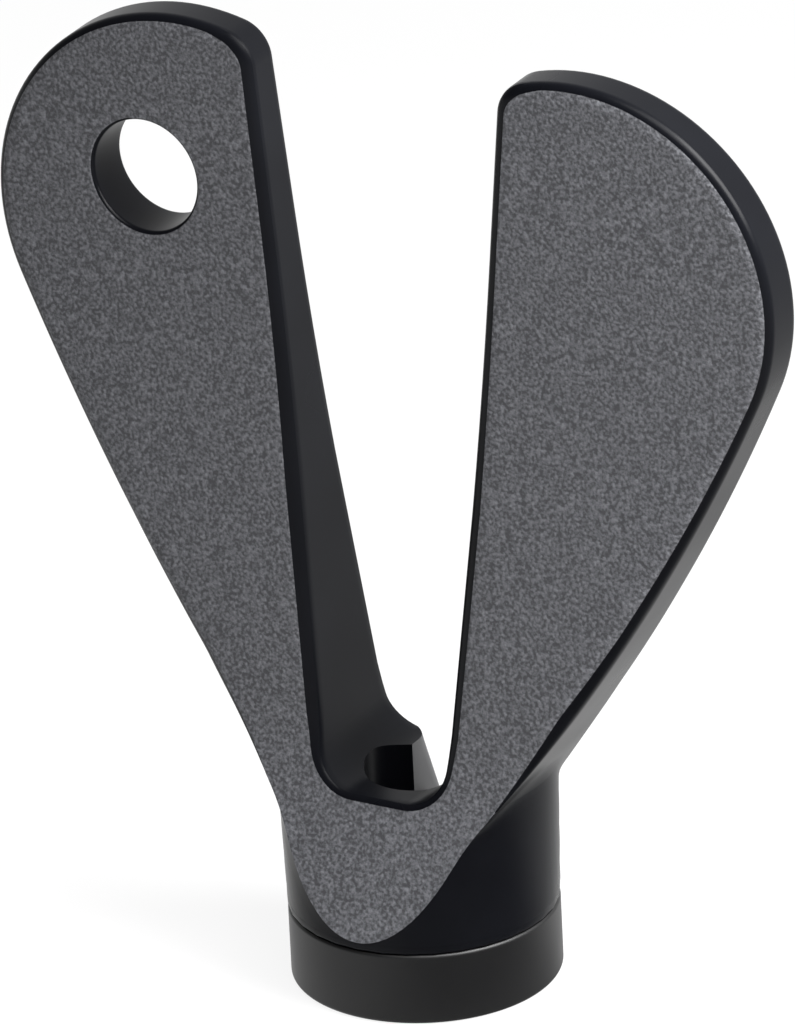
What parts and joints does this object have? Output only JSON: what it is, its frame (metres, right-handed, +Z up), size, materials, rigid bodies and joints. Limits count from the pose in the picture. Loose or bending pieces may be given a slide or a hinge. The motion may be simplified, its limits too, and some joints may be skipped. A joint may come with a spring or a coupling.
{
  "type": "spoke wrench",
  "caption": "Hand-turned spoke wrench: flat flared wings on a round hub, with a slotted steel socket ring at the foot that slips over a spoke and grips its nipple.",
  "frame": {"origin": "centre of the square socket's mouth, on the flat underside of the socket ring", "axes": "+Z up the hub's axis, from the socket to the wing tips; X across the wings, the hang hole on -X; the slot that lets the spoke in opens to +Y"},
  "size_m": [0.0446, 0.0139, 0.0512],
  "materials": {
    "moulding": "fine spark-eroded grain on the faces, smooth on the edges and the hub",
    "insert_steel": "satin black"
  },
  "bodies": {
    "root": {"handle": "moulding", "socket_insert": "insert_steel"}
  },
  "joints": []
}
